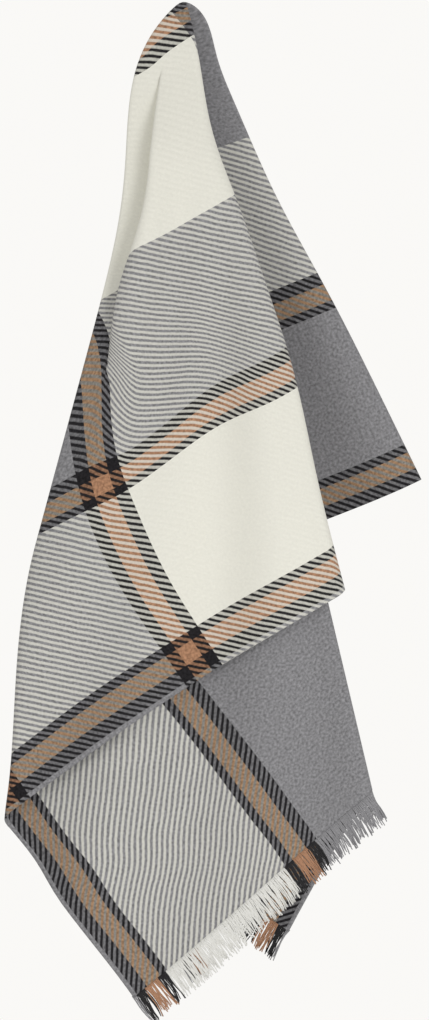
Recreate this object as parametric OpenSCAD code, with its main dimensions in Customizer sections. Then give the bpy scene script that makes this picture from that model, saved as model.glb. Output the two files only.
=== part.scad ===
/* [Cloth] */
// Woven width, selvedge to selvedge
cloth_w = 1300; // [1290:1:1310]
// Woven length, without the fringe
cloth_l = 1800; // [1790:1:1810]
// Thickness of the cloth
cloth_t = 3; // [2.4:0.1:3.2]
// Length of the fringe at each end
fringe_len = 40; // [20:1:50]

/* [Hanging point] */
// First selvedge to the point that the throw hangs from
hang_from_selvedge = 680; // [670:1:690]
// First end to the point that the throw hangs from
hang_from_end = 925; // [915:1:935]

/* [Drape] */
// Angle between one fold layer and the next, in depth
layer_angle = 0.8; // [0.78:0.01:0.9]
// Height above the hanging point where the planes of the layers would meet
meeting_height = 170; // [165:1:200]
// How far down the layers are gathered into one peak
gather_len = 125; // [120:1:130]

/* [Fringe] */
// Distance between neighbouring tassels
tassel_pitch = 8; // [6:0.5:12]
// Diameter of a tassel
tassel_d = 2.4; // [1.5:0.1:2.4]

/* [Hidden] */

cream = "#e9e7da";
grey = "#77777b";
black = "#1d1c1f";
tan_brown = "#b98355";

// Each fold, in order round the hanging point: the direction of its line on the flat cloth,
// measured from the first selvedge towards the first end, and the way that line hangs,
// measured from straight down towards the right.
folds = [[15, 15], [45, -12.2], [71, 13.2], [102.7, -12.1], [121.8, 0.8], [135.6, -11.6], [175.2, 26.2],
         [213.5, -11.3], [229.5, 3], [244.5, -10.8], [267.5, 11], [290, -10.8], [315.5, 12.9], [344, -11.7]];
// Depth place of the layer that follows each fold, from the front to the back
places = [1, 2, 3, 14, 13, 12, 11, 10, 9, 8, 7, 6, 5, 4];
fold_count = len(folds);
middle_place = (fold_count + 1) / 2;

// Stripes of the warp, from the first selvedge: [width, colour]
band_edge_w = 12;
band_middle_w = 20;
selvedge_w = 4;
band_count = 5;
check_count = 6;
band_w = 2 * band_edge_w + band_middle_w;
check_w = (cloth_w - 2 * selvedge_w - band_count * band_w) / check_count;
band = [[band_edge_w, "black"], [band_middle_w, "tan"], [band_edge_w, "black"]];
cream_check = [[check_w, "cream"]];
grey_check = [[check_w, "grey"]];
selvedge = [[selvedge_w, "grey"]];
warp = concat(selvedge, band, cream_check, band, grey_check, cream_check, band, grey_check, cream_check,
              band, grey_check, band, selvedge);

// Columns of the sheet's grid within one layer, and rows from the peak to the hem
columns_per_layer = 5;
row_count = 6;

// Smallest divisor in reach(), and how closely a hem point must match an end of the cloth
tiny = 1e-6;
end_tolerance = 0.01;
tassel_sides = 16;
peak_sides = 32;

// Left folds hang further out above the lowest point of the front edge, and much further out at the peak.
front_edge_r = 964;
upper_widening = 0.22;
upper_widening_span = 314;
peak_widening = 2.3;
peak_widening_span = 146;
function left_widening(r) =
    1 + upper_widening * smooth((front_edge_r - r) / upper_widening_span)
      + peak_widening * exp(-pow(r / peak_widening_span, 2));
function smooth(u) =
    let (v = min(1, max(0, u)))
    v * v * (3 - 2 * v);
function hang_angle(base, r) = base < 0 ? base * left_widening(r) : base;

// Distance from the hanging point to the edge of the flat cloth, in direction a
function reach(a) =
    let (across = cos(a) > 0 ? hang_from_selvedge : cloth_w - hang_from_selvedge,
         along = sin(a) > 0 ? hang_from_end : cloth_l - hang_from_end)
    min(across / max(abs(cos(a)), tiny), along / max(abs(sin(a)), tiny));

// Directions of the flat cloth's corners
corners = [atan2(hang_from_end, hang_from_selvedge),
           180 - atan2(hang_from_end, cloth_w - hang_from_selvedge),
           180 + atan2(cloth_l - hang_from_end, cloth_w - hang_from_selvedge),
           360 - atan2(cloth_l - hang_from_end, hang_from_selvedge)];

// Half of the flat angle that the turn at fold i takes, from the depth that it spans
function place_before(i) = places[(i + fold_count - 1) % fold_count];
function half_turn(i) = abs(places[i % fold_count] - place_before(i % fold_count)) * layer_angle / 2;
function fold_flat(i) = folds[i % fold_count][0] + (i >= fold_count ? 360 : 0);
function fold_hang(i) = folds[i % fold_count][1];

// Flat directions of the columns in layer i, with any corner in its right place
function layer_start(i) = fold_flat(i) + half_turn(i);
function layer_end(i) = fold_flat(i + 1) - half_turn(i + 1);
function nearest_corner(a, step) =
    let (near = [for (c = corners) if (abs(c - a) <= step / 2) c])
    len(near) > 0 ? near[0] : a;
function column_flat(i, k) =
    let (step = (layer_end(i) - layer_start(i)) / (columns_per_layer - 1),
         a = layer_start(i) + k * step)
    k == 0 || k == columns_per_layer - 1 ? a : nearest_corner(a, step);

// The columns of layer i: [flat direction, hanging angle, place, way face A points sideways at a turn,
// way face A points in depth]. Face A is in front on layers that run left, and behind on the others.
function layer_columns(i) =
    let (runs_left = fold_hang(i + 1) < fold_hang(i),
         facing = runs_left ? -1 : 1)
    [for (k = [0:columns_per_layer - 1])
        let (a = column_flat(i, k),
             share = (a - layer_start(i)) / (layer_end(i) - layer_start(i)),
             lean = k == 0 ? turn_lean(i) : k == columns_per_layer - 1 ? turn_lean(i + 1) : 0)
        [a, fold_hang(i) + share * (fold_hang(i + 1) - fold_hang(i)), places[i], lean, facing]];

// The sideways way of face A at fold i, +1 to the right. Face A is on the outside of a left fold
// that goes back and of a right fold that comes forward, and on the inside of the others.
function turn_lean(i) =
    let (is_right = fold_hang(i) > 0 && fold_hang(i) > fold_hang(i + 1),
         goes_back = places[i % fold_count] > place_before(i % fold_count),
         is_outside = is_right != goes_back)
    (is_right ? 1 : -1) * (is_outside ? 1 : -1);

columns = [for (i = [0:fold_count - 1]) for (c = layer_columns(i)) c];
column_count = len(columns);

// A point of the sheet: distance r from the hanging point, side +1 on face A and -1 on face B
function plate_point(hang, r, place, lean, facing, side) =
    let (angle = hang_angle(hang, r),
         down = r * cos(angle),
         tilt = (place - middle_place) * layer_angle,
         half = side * cloth_t / 2,
         depth = (down + meeting_height) * sin(tilt))
    [r * sin(angle) + lean * half, depth + facing * half, meeting_height - (down + meeting_height) * cos(tilt)];

// The sheet starts below the gathered peak, and each column runs from there to the hem.
function first_r(hang) = gather_len / cos(hang_angle(hang, gather_len));
function column_r(c, row) =
    let (first = first_r(columns[c][1]))
    first + (reach(columns[c][0]) - first) * row / row_count;
function sheet_point(c, row, side) =
    let (q = columns[c])
    plate_point(q[1], column_r(c, row), q[2], q[3], q[4], side);

// The whole folded sheet as one thick ribbon, closed round the hanging point
module folded_sheet() {
    points = [for (side = [1, -1]) for (row = [0:row_count]) for (c = [0:column_count - 1])
        sheet_point(c, row, side)];
    function at(side, row, c) = side * (row_count + 1) * column_count + row * column_count + c % column_count;
    faces_a = [for (row = [0:row_count - 1]) for (c = [0:column_count - 1])
        for (f = [[at(0, row, c), at(0, row, c + 1), at(0, row + 1, c)],
                  [at(0, row, c + 1), at(0, row + 1, c + 1), at(0, row + 1, c)]]) f];
    faces_b = [for (row = [0:row_count - 1]) for (c = [0:column_count - 1])
        for (f = [[at(1, row, c), at(1, row + 1, c), at(1, row, c + 1)],
                  [at(1, row, c + 1), at(1, row + 1, c), at(1, row + 1, c + 1)]]) f];
    rim_top = [for (c = [0:column_count - 1])
        for (f = [[at(0, 0, c), at(1, 0, c), at(0, 0, c + 1)],
                  [at(0, 0, c + 1), at(1, 0, c), at(1, 0, c + 1)]]) f];
    hem = [for (c = [0:column_count - 1])
        for (f = [[at(0, row_count, c), at(0, row_count, c + 1), at(1, row_count, c)],
                  [at(0, row_count, c + 1), at(1, row_count, c + 1), at(1, row_count, c)]]) f];
    polyhedron(points = points, faces = concat(faces_a, faces_b, rim_top, hem), convexity = 20);
}

// The gathered peak, where the layers lie against each other: slices of [drop, left, right, half depth]
slice_t = 2;
peak_gap = 1.5;
peak_slices = [[0, -9, 8, 5], [12, -24, 20, 10], [35, -40, 28, 16], [80, -54, 42, 22],
               [gather_len - slice_t - peak_gap, -60, 54, 26]];

// Where the hem's grid points lie on the flat cloth: [across from the first selvedge, along from the first end]
function flat_point(c) =
    let (a = columns[c % column_count][0], r = reach(a))
    [hang_from_selvedge - r * cos(a), hang_from_end - r * sin(a)];
function hem_point(c, side) = sheet_point(c % column_count, row_count, side);
function unit(v) = v / norm(v);
function mix(a, b, u) = a + (b - a) * u;

// Colour of the warp at a distance from the first selvedge
function warp_colour(s, i = 0) =
    i >= len(warp) - 1 || s < warp[i][0] ? warp[i][1] : warp_colour(s - warp[i][0], i + 1);

// The tassels of one end and one colour, each standing on the cut edge of the sheet
module fringe(end_at, yarn, shade) {
    color(shade)
        for (c = [0:column_count - 1])
            if ((c + 1) % columns_per_layer != 0
                && abs(flat_point(c)[1] - end_at) < end_tolerance
                && abs(flat_point(c + 1)[1] - end_at) < end_tolerance)
                fringe_segment(c, yarn);
}
module fringe_segment(c, yarn) {
    first = (hem_point(c, 1) + hem_point(c, -1)) / 2;
    last = (hem_point(c + 1, 1) + hem_point(c + 1, -1)) / 2;
    along = unit(last - first);
    through = unit(hem_point(c, 1) - hem_point(c, -1));
    across = unit(cross(along, through));
    away = across * first > 0 ? across : -across;
    count = floor(norm(last - first) / tassel_pitch);
    for (k = [0:max(0, count - 1)]) {
        u = (k + 0.5) / max(1, count);
        s = mix(flat_point(c)[0], flat_point(c + 1)[0], u);
        if (warp_colour(s) == yarn)
            translate(mix(first, last, u))
                rotate([0, acos(away[2]), atan2(away[1], away[0])])
                    cylinder(h = fringe_len, d = tassel_d, $fn = tassel_sides);
    }
}

module woven_cloth() {
    color(cream)
        folded_sheet();
}
module gathered_peak() {
    color(tan_brown)
        hull()
            for (slice = peak_slices)
                translate([(slice[1] + slice[2]) / 2, 0, -slice[0] - slice_t])
                    linear_extrude(height = slice_t)
                        resize([slice[2] - slice[1], 2 * slice[3]])
                            circle(d = slice[2] - slice[1], $fn = peak_sides);
}
module near_fringe_grey() fringe(0, "grey", grey);
module near_fringe_black() fringe(0, "black", black);
module near_fringe_tan() fringe(0, "tan", tan_brown);
module near_fringe_cream() fringe(0, "cream", cream);
module far_fringe_grey() fringe(cloth_l, "grey", grey);
module far_fringe_black() fringe(cloth_l, "black", black);
module far_fringe_tan() fringe(cloth_l, "tan", tan_brown);
module far_fringe_cream() fringe(cloth_l, "cream", cream);

woven_cloth();
gathered_peak();
near_fringe_grey();
near_fringe_black();
near_fringe_tan();
near_fringe_cream();
far_fringe_grey();
far_fringe_black();
far_fringe_tan();
far_fringe_cream();
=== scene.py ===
"""Looks of the hanging plaid throw: one folded woven sheet and its two fringes."""
import math
import random

import bpy
import numpy as np
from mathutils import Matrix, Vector


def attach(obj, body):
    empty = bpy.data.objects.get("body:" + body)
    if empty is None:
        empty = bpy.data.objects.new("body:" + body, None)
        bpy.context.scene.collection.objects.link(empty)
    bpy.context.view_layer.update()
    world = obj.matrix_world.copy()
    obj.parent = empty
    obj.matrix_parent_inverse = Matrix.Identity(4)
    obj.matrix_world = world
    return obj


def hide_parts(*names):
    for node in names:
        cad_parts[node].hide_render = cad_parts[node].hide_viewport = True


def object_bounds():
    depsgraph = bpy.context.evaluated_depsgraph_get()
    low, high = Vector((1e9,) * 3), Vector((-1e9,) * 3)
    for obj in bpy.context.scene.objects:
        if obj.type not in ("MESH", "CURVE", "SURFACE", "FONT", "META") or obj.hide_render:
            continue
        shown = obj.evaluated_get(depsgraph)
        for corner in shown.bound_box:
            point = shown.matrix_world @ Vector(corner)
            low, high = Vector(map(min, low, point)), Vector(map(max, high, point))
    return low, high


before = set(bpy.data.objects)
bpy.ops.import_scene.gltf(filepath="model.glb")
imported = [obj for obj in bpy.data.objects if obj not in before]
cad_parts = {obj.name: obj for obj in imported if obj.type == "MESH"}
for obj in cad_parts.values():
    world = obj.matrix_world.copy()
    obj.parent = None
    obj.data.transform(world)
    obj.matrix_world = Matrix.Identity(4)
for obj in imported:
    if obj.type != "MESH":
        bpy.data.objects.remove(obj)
cad_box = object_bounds()
scene = bpy.context.scene

# ---------------------------------------------------------------- sizes, in metres
CLOTH_W = 1.300
CLOTH_L = 1.800
THICKNESS = 0.0026
HANG_S = 0.680           # from the first selvedge to the hanging point
HANG_T = 0.925           # from the first end to the hanging point
LAYER_ANGLE = math.radians(0.8)
MEETING_HEIGHT = 0.170   # how far above the hanging point the layers' slopes would meet
TOP_CLOSING = 0.022      # below the hanging point, over which the stack opens
TIP_ROUNDING = 0.007
FRINGE_LENGTH = 0.040

# Each fold: direction of its line on the flat cloth, from the first selvedge towards the first end,
# and the way that line hangs, from straight down towards the right, both in degrees.
FOLDS = [(15, 15), (45, -12.2), (71, 13.2), (102.7, -12.1), (121.8, 0.8), (135.6, -11.6), (175.2, 26.2),
         (213.5, -11.3), (229.5, 3), (244.5, -10.8), (267.5, 11), (290, -10.8), (315.5, 12.9), (344, -11.7)]
# Depth place of the layer that follows each fold, from the front to the back
PLACES = [1, 2, 3, 14, 13, 12, 11, 10, 9, 8, 7, 6, 5, 4]
LAYERS = len(FOLDS)
MIDDLE_PLACE = (LAYERS + 1) / 2
FRONT_EDGE_FOLD = 0      # the right edge of the front layer
FRONT_LEFT_FOLD = 1      # between the two layers in front
LOWER_EDGE_FOLD = 2      # the right edge of the second layer
WING_FOLD = 6            # the edge that stands furthest out at the right
INNER_FOLDS = (5, 7, 9, 11, 13)    # on the left, inside the big turn of fold 3

COLUMN_STEP = 0.55       # degrees between the grid's columns
MIN_COLUMNS = 12
TURN_COLUMNS = 7         # columns are this many times closer beside a fold
ROWS = 200
FIRST_R = 0.002
TINY = 1e-6              # keeps a division away from zero

TURN_WIDTH = 0.0075      # how far a turn reaches sideways
TURN_OPENING = 0.12      # distance from the hanging point where turns reach their full width
TURN_ARC = 0.8           # length of a quarter of an ellipse, over the sum of its half axes
MOST_TURN = 0.8          # most of a layer's width that its two turns may take
LEAST_ROOM = 0.1         # least share of a layer's room that is left between its turns

# ---------------------------------------------------------------- stripes
BLACK_W = 0.012
TAN_W = 0.020
SELVEDGE_W = 0.004
BAND_W = 2 * BLACK_W + TAN_W
BAND = [("black", BLACK_W), ("tan", TAN_W), ("black", BLACK_W)]
WARP_BANDS = 5
WARP_CHECKS = 6
WEFT_BANDS = 4
CHECK_W = (CLOTH_W - 2 * SELVEDGE_W - WARP_BANDS * BAND_W) / WARP_CHECKS
CHECK_L = 0.216
NEAR_END_L = 0.240
SECOND_L = 0.236
LONG_CREAM_L = 0.304
FAR_END_L = CLOTH_L - WEFT_BANDS * BAND_W - NEAR_END_L - SECOND_L - LONG_CREAM_L - 3 * CHECK_L


def check(name, width):
    return [(name, width)]


SELVEDGE = check("grey", SELVEDGE_W)
CREAM_W = check("cream", CHECK_W)
GREY_W = check("grey", CHECK_W)
CREAM_L = check("cream", CHECK_L)
GREY_L = check("grey", CHECK_L)
# The warp's stripes run from the first selvedge, and the weft's from the near end
WARP = (SELVEDGE + BAND + CREAM_W + BAND + GREY_W + CREAM_W + BAND
        + GREY_W + CREAM_W + BAND + GREY_W + BAND + SELVEDGE)
WEFT = (check("grey", NEAR_END_L) + BAND + check("grey", SECOND_L) + BAND + check("cream", LONG_CREAM_L)
        + GREY_L + CREAM_L + BAND + GREY_L + BAND + check("grey", FAR_END_L))

COLOURS = {"cream": (0.83, 0.82, 0.74), "grey": (0.245, 0.243, 0.254),
           "black": (0.013, 0.012, 0.014), "tan": (0.39, 0.208, 0.120)}


def edges(stripes):
    """Where each stripe ends, in metres from the cloth's edge."""
    ends = []
    total = 0.0
    for name, width in stripes:
        total += width
        ends.append((name, total))
    return ends


def stripe_at(stripes, place):
    for name, end in edges(stripes):
        if place < end:
            return name
    return stripes[-1][0]


# ---------------------------------------------------------------- curves that the drape is made of
def smooth(u):
    v = np.clip(u, 0, 1)
    return v * v * (3 - 2 * v)


def swell(at, size, centre, width):
    """Size at the centre, dying away on both sides."""
    return size * np.exp(-((at - centre) / width) ** 2)


def rising(at, size, start, length):
    """Nothing up to start, and size from start + length on."""
    return size * smooth((at - start) / length)


def falling(at, size, end, length):
    """Size up to end - length, and nothing from end on."""
    return size * smooth((end - at) / length)


def ripple(hang, r, height, per_hang, per_r, start):
    """A wave across the drape, with its radians for each radian of hang and for each metre of r."""
    return height * np.sin(per_hang * hang + per_r * r + start)


# ---------------------------------------------------------------- the drape
# In the drape r is the distance from the hanging point. A row of three numbers here is the size, place and
# width of one of the curves above, and a row of four is a ripple: its height, its radians for each radian of
# hang and for each metre of r, and its start.

# Shares by which the left folds' hanging angle changes, and an inset in metres
LEFT_PEAK = (2.3, 0, 0.146)
LEFT_UPPER = (0.22, 0.964, 0.314)
LEFT_TUCK = (0.16, 0.74, 0.16)
FRONT_TUCK = (0.12, 0.964, 0.20)
FRONT_NOTCH = (0.04, 1.0, 0.03)
INNER_INSET = (0.0045, 0.85, 0.6)
INNER_FROM = 0.1
# Shares by which the right folds' hanging angle changes
RIGHT_PEAK = (-0.26, 0.135, 0.09)
FRONT_EDGE_OUT = (0.07, 0.43, 0.12)
WING_PEAK = (1.1, 0, 0.05)
WING_DIP = (-0.06, 0.22, 0.12)
# Degrees by which the first folds' lines on the flat cloth turn near the peak
FRONT_EDGE_TURN = (7, 0, 0.13)
FRONT_LEFT_TURN = (20, 0.7, 0.6)
FRONT_LEFT_PEAK_TURN = (8, 0.12, 0.04)
LOWER_EDGE_TURN = (9, 0.16, 0.08)
# Metres by which the flat cloth is shifted across and along at the peak
PEAK_SHIFT_S = (-0.0095, 0, 0.15)
PEAK_SHIFT_T = (-0.033, 0, 0.17)
# The pleat in the front layer. Its edge and what it hides are shares of the layer's width.
PLEAT_TOP = (1, 0.08, 0.12)
PLEAT_FOOT = (1, 0.46, 0.14)
PLEAT_HIDES = 0.36
PLEAT_EDGE = 0.60
PLEAT_EDGE_MOVES = (0.30, 0.08, 0.32)
PLEAT_LIFT = 0.024
PLEAT_LIFT_WIDTH = 0.05
# Shares of r that small ripples take up, by degrees on the flat cloth, and where down the drape they do so
SLACK_LOWER_RIGHT = (0.050, 74, 13)
SLACK_BEHIND_WING = (0.055, 157, 12)
SLACK_REAR_TIP = (0.025, 308, 14)
SLACK_FROM = (1, 0.25, 0.4)
SLACK_FRONT = (0.035, 30, 8)
SLACK_FRONT_AT = (1, 0.48, 0.14)
# Share of r that is drawn up behind the pleat, and the parts of the two front layers' widths where it is
GATHERED = (0.14, 0.36, 0.14)
GATHERED_FRONT = (1, 0.72, 0.2)
GATHERED_BEHIND = (1, 0.5, 0.5)
# Ripples that all layers share
SHARED_FROM = (1, 0.08, 0.5)
SHARED = [(0.007, 10.5, 0, 0.6), (0.005, 23, -2.0, 2.2), (0.004, 3.0, 6.3, 0.8)]
HEM_RIPPLE = (0.004, 38, 9, 0)
HEM_FROM = (1, 0.55, 0.4)
# Creases of the two layers in front, and the ruck above the hem of the second one
CREASES = (0.0042, 34, 7, 1.0)
CREASES_FROM = (1, 0.15, 0.3)
RUCK = (0.0028, 45, 140, -126)
RUCK_R = (1, 0.90, 0.06)
RUCK_HANG = (1, -0.05, 0.07)
CREASE_FADE = 0.12       # share of a layer's width over which its creases fade towards its right fold


def hang_angle(fold, r):
    """How fold number fold hangs at distance r, in radians from straight down."""
    number = fold % LAYERS
    base = math.radians(FOLDS[number][1])
    if base < 0:
        tuck = rising(r, *LEFT_TUCK)
        if number == FRONT_LEFT_FOLD:
            tuck = rising(r, *FRONT_TUCK) + swell(r, *FRONT_NOTCH)
        hang = base * (1 - tuck + falling(r, *LEFT_UPPER) + swell(r, *LEFT_PEAK))
        if number in INNER_FOLDS:
            hang = hang + falling(r, *INNER_INSET) / np.maximum(r, INNER_FROM)
        return hang
    if number == WING_FOLD:
        return base * (1 + swell(r, *WING_DIP) + swell(r, *WING_PEAK))
    if number == FRONT_EDGE_FOLD:
        base = base * (1 + swell(r, *FRONT_EDGE_OUT))
    return base * (1 + swell(r, *RIGHT_PEAK))


def flat_angle(fold, r):
    """Direction of fold number fold's line on the flat cloth at distance r, in radians."""
    number = fold % LAYERS
    turn = 0.0
    if number == FRONT_EDGE_FOLD:
        turn = swell(r, *FRONT_EDGE_TURN)
    if number == FRONT_LEFT_FOLD:
        turn = falling(r, *FRONT_LEFT_TURN) + falling(r, *FRONT_LEFT_PEAK_TURN)
    if number == LOWER_EDGE_FOLD:
        turn = falling(r, *LOWER_EDGE_TURN)
    return np.radians(FOLDS[number][0] + 360 * (fold // LAYERS) + turn)


def reach(angle):
    """Distance from the hanging point to the flat cloth's edge, in the direction angle."""
    across = HANG_S if math.cos(angle) > 0 else CLOTH_W - HANG_S
    along = HANG_T if math.sin(angle) > 0 else CLOTH_L - HANG_T
    return min(across / max(abs(math.cos(angle)), TINY), along / max(abs(math.sin(angle)), TINY))


def corner_angles():
    back_w = CLOTH_W - HANG_S
    back_l = CLOTH_L - HANG_T
    return [math.atan2(HANG_T, HANG_S), math.pi - math.atan2(HANG_T, back_w),
            math.pi + math.atan2(back_l, back_w), 2 * math.pi - math.atan2(back_l, HANG_S)]


def layer_depth(place, down):
    """Distance behind the middle of the stack, closing to nothing at the very top."""
    tilt = (place - MIDDLE_PLACE) * LAYER_ANGLE
    return (down + MEETING_HEIGHT) * math.sin(tilt) * (1 - np.exp(-down / TOP_CLOSING))


def column_shares(layer):
    """The columns of one layer, as shares of the way from its first fold to its next."""
    first = FOLDS[layer][0]
    last = FOLDS[(layer + 1) % LAYERS][0] + (360 if layer == LAYERS - 1 else 0)
    count = max(MIN_COLUMNS, int((last - first) / COLUMN_STEP))
    shares = list(np.linspace(0, 1, count + 1)[:-1])
    for corner in corner_angles():
        share = (math.degrees(corner) - first) / (last - first)
        if 0 < share < 1:
            nearest = min(range(1, len(shares)), key=lambda k: abs(shares[k] - share))
            shares[nearest] = share
    near = [shares[1] * k / TURN_COLUMNS for k in range(1, TURN_COLUMNS)]
    return sorted(shares + near + [1 - n for n in near])


def front_pleat(share, r, width):
    """How much of the front layer has been seen by share, and how far the pleat stands forward there."""
    amount = rising(r, *PLEAT_TOP) * falling(r, *PLEAT_FOOT)
    hidden = PLEAT_HIDES * amount + TINY
    edge = (PLEAT_EDGE + rising(r, *PLEAT_EDGE_MOVES)) * (1 - hidden)
    gone = smooth((share - edge) / hidden)
    seen = (share - hidden * gone) / (1 - hidden)
    before = np.maximum(edge - share, 0) * width
    forward = PLEAT_LIFT * amount * (1 - gone) * np.exp(-before / PLEAT_LIFT_WIDTH)
    return seen, forward


def turn_size(depth, other_depth, r):
    """Half of the turn between two layers: how far it reaches sideways, and the cloth that it takes."""
    half_gap = np.abs(other_depth - depth) / 2
    wide = np.minimum(TURN_WIDTH * smooth(r / TURN_OPENING), half_gap)
    return wide, (half_gap + wide) * TURN_ARC + TINY


def turned(distance, arc):
    """How far round a turn the cloth is at a distance past the fold line, up to a quarter of a circle."""
    return np.clip(distance / arc, 0, 1) * math.pi / 2


def folded_point(layer, share, r):
    """Places of one column of the sheet, and where they are on the flat cloth. r is an array."""
    start, end = flat_angle(layer, r), flat_angle(layer + 1, r)
    angle = start + share * (end - start)
    hang0, hang1 = hang_angle(layer, r), hang_angle(layer + 1, r)
    down = r * np.cos((hang0 + hang1) / 2)
    depth = layer_depth(PLACES[layer], down)
    depth_before = layer_depth(PLACES[layer - 1], down)
    depth_after = layer_depth(PLACES[(layer + 1) % LAYERS], down)

    length = r * (end - start)
    wide0, arc0 = turn_size(depth, depth_before, r)
    wide1, arc1 = turn_size(depth, depth_after, r)
    limit = np.minimum(1, MOST_TURN * length / (arc0 + arc1))
    arc0, arc1 = arc0 * limit, arc1 * limit
    from0 = r * (angle - start)
    from1 = r * (end - angle)
    turn0, turn1 = turned(from0, arc0), turned(from1, arc1)

    middle_length = np.maximum(length - arc0 - arc1, TINY)
    straight = np.clip((from0 - arc0) / middle_length, 0, 1)
    forward = 0.0
    if layer == 0:
        straight, forward = front_pleat(straight, r, middle_length)
    room = r * np.abs(hang1 - hang0)
    middle_room = np.maximum(room - wide0 - wide1, LEAST_ROOM * room)
    across = wide0 * (1 - np.cos(turn0)) + straight * middle_room + wide1 * np.cos(turn1)
    way = np.sign(hang1[-1] - hang0[-1])
    hang = hang0 + way * across / np.maximum(r, TINY)

    middle0 = (depth_before + depth) / 2
    middle1 = (depth_after + depth) / 2
    y = np.where(from0 < arc0, middle0 + (depth - middle0) * np.sin(turn0), depth)
    y = np.where(from1 < arc1, middle1 + (depth - middle1) * np.sin(turn1), y)
    y = y + shared_wave(hang, r) + (creases(layer, hang, r) - forward) * crease_fade(layer, share)
    hung_r = r * (1 - slack(np.degrees(angle), r))
    x = hung_r * np.sin(hang)
    z = TIP_ROUNDING - np.sqrt((hung_r * np.cos(hang)) ** 2 + TIP_ROUNDING ** 2)

    flat_r = r * (1 + gathered(layer, share, r))
    flat_s = HANG_S - flat_r * np.cos(angle) + swell(r, *PEAK_SHIFT_S)
    flat_t = HANG_T - flat_r * np.sin(angle) + swell(r, *PEAK_SHIFT_T)
    return np.stack([x, y, z], 1), np.stack([flat_s, flat_t], 1)


def slack(degrees, r):
    """How much shorter the cloth hangs than its flat length, where small ripples take it up."""
    front = swell(degrees, *SLACK_FRONT) * swell(r, *SLACK_FRONT_AT)
    others = sum(swell(degrees, *row) for row in (SLACK_LOWER_RIGHT, SLACK_BEHIND_WING, SLACK_REAR_TIP))
    return front + others * rising(r, *SLACK_FROM)


def gathered(layer, share, r):
    """Extra cloth drawn up behind the front pleat, beside the left outline."""
    if layer == 0:
        near = rising(share, *GATHERED_FRONT)
    elif layer == 1:
        near = falling(share, *GATHERED_BEHIND)
    else:
        near = 0.0
    return near * swell(r, *GATHERED)


def shared_wave(hang, r):
    """Soft flutes that all the layers share, so that they never meet."""
    flutes = sum(ripple(hang, r, *row) for row in SHARED)
    hem = ripple(hang, r, *HEM_RIPPLE) * rising(r, *HEM_FROM)
    return rising(r, *SHARED_FROM) * (flutes + hem)


def creases(layer, hang, r):
    """Small creases of the two layers in front, shallower than the gap behind them."""
    if layer > 1:
        return 0.0
    long_creases = ripple(hang, r, *CREASES) * rising(r, *CREASES_FROM)
    ruck = ripple(hang, r, *RUCK) * swell(r, *RUCK_R) * swell(hang, *RUCK_HANG) * layer
    return long_creases + ruck


def crease_fade(layer, share):
    """Brings those creases and the pleat down to nothing where the layers turn back into the stack."""
    from_right_fold = share if layer == 0 else 1 - share
    return smooth(from_right_fold / CREASE_FADE)


def build_sheet():
    """The sheet's vertices, their places on the flat cloth, its faces and its number of columns."""
    points, flats = [], []
    for layer in range(LAYERS):
        first = math.radians(FOLDS[layer][0])
        last = math.radians(FOLDS[(layer + 1) % LAYERS][0]) + (2 * math.pi if layer == LAYERS - 1 else 0)
        for share in column_shares(layer):
            angle = (first + share * (last - first)) % (2 * math.pi)
            r = np.linspace(FIRST_R, reach(angle), ROWS)
            place, flat = folded_point(layer, share, r)
            points.append(place)
            flats.append(flat)
    columns = len(points)
    places = np.concatenate(points)
    flat = np.concatenate(flats)
    faces = []
    for c in range(columns):
        d = (c + 1) % columns
        for k in range(ROWS - 1):
            faces.append((c * ROWS + k, c * ROWS + k + 1, d * ROWS + k + 1, d * ROWS + k))
    tip = len(places)
    places = np.vstack([places, [[0.0, 0.0, 0.0]]])
    flat = np.vstack([flat, [[HANG_S, HANG_T]]])
    for c in range(columns):
        faces.append((tip, c * ROWS, ((c + 1) % columns) * ROWS))
    return places, flat, faces, columns


# ---------------------------------------------------------------- meshes
def mesh_object(name, places, faces, flat=None):
    """A smooth-shaded object. flat gives each vertex's place on the flat cloth, for the weave."""
    mesh = bpy.data.meshes.new(name)
    mesh.from_pydata([tuple(p) for p in places], [], faces)
    if flat is not None:
        layer = mesh.uv_layers.new(name="cloth")
        loops = np.empty(len(mesh.loops), dtype=np.int32)
        mesh.loops.foreach_get("vertex_index", loops)
        layer.data.foreach_set("uv", flat[loops].astype(np.float32).ravel())
    mesh.polygons.foreach_set("use_smooth", [True] * len(mesh.polygons))
    mesh.update()
    piece = bpy.data.objects.new(name, mesh)
    scene.collection.objects.link(piece)
    return piece


def thicken(piece):
    """Gives the sheet its thickness. Face A keeps the first material, and face B takes the second."""
    solid = piece.modifiers.new("thickness", "SOLIDIFY")
    solid.thickness = THICKNESS
    solid.offset = 0
    solid.use_even_offset = False
    solid.material_offset = 1
    whole = piece.evaluated_get(bpy.context.evaluated_depsgraph_get())
    mesh = bpy.data.meshes.new_from_object(whole)
    piece.modifiers.clear()
    piece.data = mesh


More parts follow.
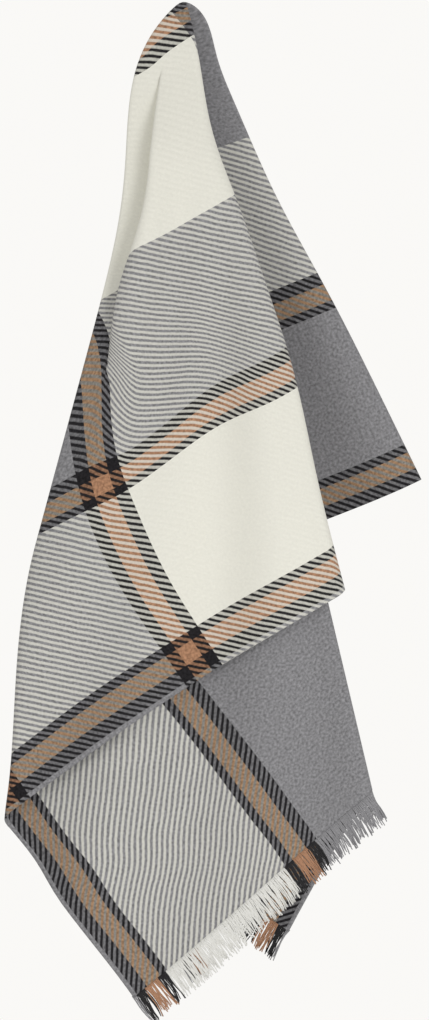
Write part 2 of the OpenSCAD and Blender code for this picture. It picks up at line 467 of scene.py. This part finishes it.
# ---------------------------------------------------------------- materials
class Nodes:
    """Short helpers for building one material's nodes."""

    def __init__(self, name):
        self.material = bpy.data.materials.new(name)
        self.material.use_nodes = True
        self.tree = self.material.node_tree
        self.shader = self.tree.nodes["Principled BSDF"]

    def add(self, kind, **inputs):
        node = self.tree.nodes.new(kind)
        for key, value in inputs.items():
            self.put(node.inputs[key], value)
        return node

    def put(self, socket, value):
        if isinstance(value, bpy.types.NodeSocket):
            self.tree.links.new(value, socket)
        else:
            socket.default_value = value

    def maths(self, operation, a, b=0.0, c=0.0):
        node = self.tree.nodes.new("ShaderNodeMath")
        node.operation = operation
        for socket, value in zip(node.inputs, (a, b, c)):
            self.put(socket, value)
        return node.outputs[0]

    def within(self, value, low, high):
        return self.maths("MINIMUM", self.maths("MAXIMUM", value, low), high)

    def add_noise(self, noise, amount, value):
        """Value, made larger or smaller by a noise whose middle is a half."""
        return self.maths("MULTIPLY_ADD", self.maths("SUBTRACT", noise, 0.5), amount, value)

    def mix(self, share, a, b, blend="MIX"):
        node = self.tree.nodes.new("ShaderNodeMix")
        node.data_type = "RGBA"
        node.blend_type = blend
        self.put(node.inputs[0], share)
        self.put(node.inputs[6], a)
        self.put(node.inputs[7], b)
        return node.outputs[2]

    def noise(self, where, scale, detail=2.0):
        node = self.add("ShaderNodeTexNoise", Vector=where, Scale=scale, Detail=detail)
        return node.outputs["Fac"]

    def relief(self, height, strength, distance):
        """Small bumps on the surface. distance is their height in metres."""
        bumps = self.add("ShaderNodeBump", Strength=strength, Distance=distance, Height=height)
        self.put(self.shader.inputs["Normal"], bumps.outputs[0])


def stripe_colour(nodes, place, stripes):
    """A colour that changes at each stripe's end along place."""
    ramp = nodes.tree.nodes.new("ShaderNodeValToRGB")
    ramp.color_ramp.interpolation = "CONSTANT"
    total = edges(stripes)[-1][1]
    nodes.put(ramp.inputs[0], nodes.maths("DIVIDE", place, total))
    start = 0.0
    elements = ramp.color_ramp.elements
    elements.remove(elements[1])
    for number, (name, end) in enumerate(edges(stripes)):
        element = elements[0] if number == 0 else elements.new(start / total)
        element.position = start / total
        element.color = (*COLOURS[name], 1)
        start = end
    return ramp.outputs[0]


# Twill. Lengths are in metres, and each scale is the number of a noise's grains in a metre.
TWILL_PITCH = 0.0062
TWILL_LEAN = math.radians(43)    # between the twill's lines and the warp
WARP_ON_TOP = 0.5                # both yarns show equally at 0.5, and the warp shows more above it
LINE_SHADE_SHARE = 0.34                # painted shade: how far the lighter yarn's floats are darkened towards the darker yarn where the two differ
DRIFT_SCALE = 40.0
DRIFT = 0.0022                   # how far the lines wander
FUZZ_SCALE = 900.0
FUZZ_DETAIL = 3.0
FUZZ = 0.35                      # how ragged the lines' edges are
FUZZ_HEIGHT = 1.2                # of the fuzz against the twill's ridges
HEATHER_SCALE = 330.0
HEATHER_DETAIL = 4.0
# Mottling, which is stronger in dark yarn: its amount at no brightness, its change with it, and its least
MOTTLE_DARK = 2.8
MOTTLE_CHANGE = -4.0
MOTTLE_LEAST = 0.15
WEAVE_RELIEF = 0.35
WEAVE_HEIGHT = 0.0009


def woven(name, hand):
    """The twill on one face. hand is +1 or -1, the way its lines lean."""
    n = Nodes(name)
    uv = n.tree.nodes.new("ShaderNodeUVMap")
    uv.uv_map = "cloth"
    wobble = n.noise(uv.outputs[0], DRIFT_SCALE)
    split = n.add("ShaderNodeSeparateXYZ", Vector=uv.outputs[0])
    s, t = split.outputs[0], split.outputs[1]
    drift = n.maths("MULTIPLY", n.maths("SUBTRACT", wobble, 0.5), DRIFT)
    across = n.maths("MULTIPLY", s, math.cos(TWILL_LEAN))
    lean = n.maths("MULTIPLY_ADD", t, hand * math.sin(TWILL_LEAN), across)
    phase = n.maths("MULTIPLY", n.maths("ADD", lean, drift), 2 * math.pi / TWILL_PITCH)
    wave = n.maths("SINE", phase)
    over = n.within(n.maths("ADD", wave, WARP_ON_TOP), 0.0, 1.0)
    fuzz = n.noise(uv.outputs[0], FUZZ_SCALE, FUZZ_DETAIL)
    over = n.within(n.add_noise(fuzz, FUZZ, over), 0.0, 1.0)
    warp = stripe_colour(n, s, WARP)
    weft = stripe_colour(n, t, WEFT)
    lines = n.mix(over, weft, warp)
    # Painted shade: where the two yarns differ, the lighter lines are darkened towards the darker one.
    colour = n.mix(LINE_SHADE_SHARE, lines, n.mix(1.0, weft, warp, "DARKEN"))
    heather = n.noise(uv.outputs[0], HEATHER_SCALE, HEATHER_DETAIL)
    brightness = n.add("ShaderNodeRGBToBW", Color=colour).outputs[0]
    amount = n.maths("MULTIPLY_ADD", brightness, MOTTLE_CHANGE, MOTTLE_DARK)
    mottle = n.add_noise(heather, n.maths("MAXIMUM", amount, MOTTLE_LEAST), 1.0)
    scaled = n.tree.nodes.new("ShaderNodeVectorMath")
    scaled.operation = "SCALE"
    n.put(scaled.inputs[0], colour)
    n.put(scaled.inputs["Scale"], mottle)
    n.put(n.shader.inputs["Base Color"], scaled.outputs[0])
    ridges = n.maths("MULTIPLY_ADD", wave, 0.5, n.maths("MULTIPLY", fuzz, FUZZ_HEIGHT))
    n.relief(ridges, WEAVE_RELIEF, WEAVE_HEIGHT)
    finish_yarn(n)
    return n.material


def finish_yarn(n):
    """The gloss of soft yarn, the same on the weave and on the loose ends."""
    n.shader.inputs["Roughness"].default_value = 0.92
    n.shader.inputs["Sheen Weight"].default_value = 0.12
    n.shader.inputs["Sheen Roughness"].default_value = 0.5
    n.shader.inputs["Specular IOR Level"].default_value = 0.15


# Loose yarn ends: how much lighter they look than the weave, and how dark and light their fibres get
YARN_GAIN = {"cream": 1.7, "grey": 1.5, "black": 1.2, "tan": 1.45}
YARN_DARK = 0.5
YARN_LIFT = 0.03
YARN_LIGHTEST = 0.85
YARN_FUZZ_SCALE = 700.0
YARN_RELIEF = 0.5
YARN_HEIGHT = 0.0006


def yarn(name):
    """The material of one colour's loose yarn ends."""
    n = Nodes(name + "_yarn")
    coords = n.tree.nodes.new("ShaderNodeTexCoord")
    fuzz = n.noise(coords.outputs["Object"], YARN_FUZZ_SCALE, FUZZ_DETAIL)
    dark = tuple(YARN_DARK * YARN_GAIN[name] * v for v in COLOURS[name]) + (1,)
    light = tuple(min(YARN_LIGHTEST, YARN_GAIN[name] * v + YARN_LIFT) for v in COLOURS[name]) + (1,)
    n.put(n.shader.inputs["Base Color"], n.mix(fuzz, dark, light))
    n.relief(fuzz, YARN_RELIEF, YARN_HEIGHT)
    finish_yarn(n)
    return n.material


# ---------------------------------------------------------------- fringe
STRAND_PITCH = 0.0010
STRAND_RADIUS = 0.0010
STRAND_TAPER = 0.4
STRAND_SIDES = 5
STRAND_RINGS = 6
STRAND_ROOT = 0.002              # how deep a strand starts inside the hem
DROOP = np.array([0, 0, -0.35])
WRIGGLE = 0.12
WRIGGLE_TURN = 5.5               # radians of wriggle along a strand
CLUMP_SIZES = [5, 7, 9, 12]      # strands that lean the same way
# How much clumps and single strands lean along the hem and through the cloth
CLUMP_ALONG = 0.11
CLUMP_THROUGH = 0.06
LEAN_ALONG = 0.05
LEAN_THROUGH = 0.03
LENGTH_SPREAD = (0.82, 1.04)
PITCH_SPREAD = (0.8, 1.2)
HEM_TOLERANCE = 1e-4
NEAR_SEED = 7
FAR_SEED = 11


def unit(v):
    return v / max(np.linalg.norm(v), TINY)


def strand(root, way, through, length, lean, wriggle):
    """Points of one loose yarn, which leaves the hem along way and bends towards the ground."""
    points, faces = [], []
    middle = np.array(root, dtype=float) - way * STRAND_ROOT
    step = length / (STRAND_RINGS - 1)
    for ring in range(STRAND_RINGS):
        share = ring / (STRAND_RINGS - 1)
        wiggle = WRIGGLE * math.sin(WRIGGLE_TURN * share + wriggle) * np.cross(way, through)
        ahead = unit(way + wiggle + share * (lean + DROOP))
        side = unit(np.cross(ahead, through))
        other = np.cross(side, ahead)
        radius = STRAND_RADIUS * (1 - STRAND_TAPER * share)
        for k in range(STRAND_SIDES):
            turn = 2 * math.pi * k / STRAND_SIDES
            points.append(middle + radius * (math.cos(turn) * side + math.sin(turn) * other))
        middle = middle + ahead * step
    for ring in range(STRAND_RINGS - 1):
        for k in range(STRAND_SIDES):
            a = ring * STRAND_SIDES + k
            b = ring * STRAND_SIDES + (k + 1) % STRAND_SIDES
            faces.append((a, b, b + STRAND_SIDES, a + STRAND_SIDES))
    faces.append(tuple(range(STRAND_SIDES))[::-1])
    last = (STRAND_RINGS - 1) * STRAND_SIDES
    faces.append(tuple(range(last, last + STRAND_SIDES)))
    return points, faces


def build_fringe(end_t, places, flat, columns):
    """Meshes of the strands at one end of the cloth, one for each yarn colour."""
    rng = random.Random(NEAR_SEED if end_t == 0 else FAR_SEED)
    meshes = {name: ([], []) for name in COLOURS}
    carried = 0.0
    clump = np.zeros(3)
    clump_left = 0
    for c in range(columns):
        d = (c + 1) % columns
        a, b = c * ROWS + ROWS - 1, d * ROWS + ROWS - 1
        if abs(flat[a][1] - end_t) > HEM_TOLERANCE or abs(flat[b][1] - end_t) > HEM_TOLERANCE:
            continue
        width = abs(flat[b][0] - flat[a][0])
        along = unit(places[b] - places[a])
        out = unit(places[a] - places[a - 3])
        out = unit(out - along * np.dot(out, along))
        through = unit(np.cross(along, out))
        place = carried
        while place < width:
            share = place / width
            root = places[a] + share * (places[b] - places[a])
            s = flat[a][0] + share * (flat[b][0] - flat[a][0])
            name = stripe_at(WARP, s)
            if clump_left == 0:
                clump_left = rng.choice(CLUMP_SIZES)
                clump = along * rng.gauss(0, CLUMP_ALONG) + through * rng.gauss(0, CLUMP_THROUGH)
            clump_left -= 1
            lean = clump + along * rng.gauss(0, LEAN_ALONG) + through * rng.gauss(0, LEAN_THROUGH)
            length = FRINGE_LENGTH * rng.uniform(*LENGTH_SPREAD)
            points, faces = strand(root, out, through, length, lean, rng.uniform(0, 2 * math.pi))
            whole, loops = meshes[name]
            first = len(whole)
            whole.extend(points)
            loops.extend([tuple(first + k for k in face) for face in faces])
            place += STRAND_PITCH * rng.uniform(*PITCH_SPREAD)
        carried = place - width
    return meshes


# ---------------------------------------------------------------- assembly
places, flat, faces, columns = build_sheet()
cloth = mesh_object("cloth", places, faces, flat)
cloth.data.materials.append(woven("weave_face_a", -1))
cloth.data.materials.append(woven("weave_face_b", 1))
thicken(cloth)
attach(cloth, "root")
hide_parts("woven_cloth", "gathered_peak")

yarns = {name: yarn(name) for name in COLOURS}
for end_name, end_t in (("near", 0.0), ("far", CLOTH_L)):
    for name, (points, strand_faces) in build_fringe(end_t, places, flat, columns).items():
        piece = mesh_object(f"{end_name}_tassels_{name}", points, strand_faces)
        piece.data.materials.append(yarns[name])
        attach(piece, "root")
        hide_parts(f"{end_name}_fringe_{name}")

# ---------------------------------------------------------------- stage
FLOOR_Z = -1.95          # the throw hangs at about head height
FLOOR_HALF = 5.5
FLOOR_COLOUR = (0.93, 0.925, 0.915)
BACKDROP_COLOUR = (0.955, 0.945, 0.925)
BACKDROP_SEEN = 1.0      # strength that the camera sees
BACKDROP_LIGHT = 0.62    # strength that lights the cloth
VIEW_HEIGHT = 1.173      # metres from the top of the picture to its bottom
VIEW_X = 0.035           # the middle of the picture
VIEW_Z = -0.583
DISTANCE = 6.0


def plain(name, colour):
    n = Nodes(name)
    n.shader.inputs["Base Color"].default_value = (*colour, 1)
    n.shader.inputs["Roughness"].default_value = 0.9
    return n.material


def lay_floor():
    corners = [(x * FLOOR_HALF, y * FLOOR_HALF, FLOOR_Z) for x, y in ((-1, -1), (1, -1), (1, 1), (-1, 1))]
    floor = mesh_object("floor", corners, [(0, 1, 2, 3)])
    floor.data.materials.append(plain("floor", FLOOR_COLOUR))


def softbox(name, place, target, size, power):
    """A round studio light at place, size metres across, that points at target."""
    lamp = bpy.data.lights.new(name, "AREA")
    lamp.shape = "DISK"
    lamp.size = size
    lamp.energy = power
    piece = bpy.data.objects.new(name, lamp)
    piece.location = place
    way = Vector(target) - piece.location
    piece.rotation_euler = way.to_track_quat("-Z", "Y").to_euler()
    scene.collection.objects.link(piece)


def studio():
    """A pale backdrop that lights the cloth less than it shows."""
    world = bpy.data.worlds.new("studio")
    world.use_nodes = True
    tree = world.node_tree
    background = tree.nodes["Background"]
    background.inputs[0].default_value = (*BACKDROP_COLOUR, 1)
    path = tree.nodes.new("ShaderNodeLightPath")
    strength = tree.nodes.new("ShaderNodeMapRange")
    strength.inputs["To Min"].default_value = BACKDROP_LIGHT
    strength.inputs["To Max"].default_value = BACKDROP_SEEN
    tree.links.new(path.outputs["Is Camera Ray"], strength.inputs["Value"])
    tree.links.new(strength.outputs[0], background.inputs[1])
    scene.world = world


def place_camera():
    """A camera that faces the front and takes in VIEW_HEIGHT at the throw's distance."""
    camera = bpy.data.objects.new("camera", bpy.data.cameras.new("camera"))
    camera.data.lens = camera.data.sensor_width * DISTANCE / VIEW_HEIGHT
    camera.location = (VIEW_X, -DISTANCE, VIEW_Z)
    camera.rotation_euler = (math.pi / 2, 0, 0)
    scene.collection.objects.link(camera)
    scene.camera = camera


lay_floor()
studio()
scene.view_settings.view_transform = "Standard"
middle = (VIEW_X, 0.0, (cad_box[0][2] + cad_box[1][2]) / 2)
softbox("key", place=(1.5, -2.5, -0.9), target=middle, size=1.4, power=27)
softbox("fill", place=(-2.2, -2.4, -0.2), target=middle, size=1.8, power=10)
place_camera()
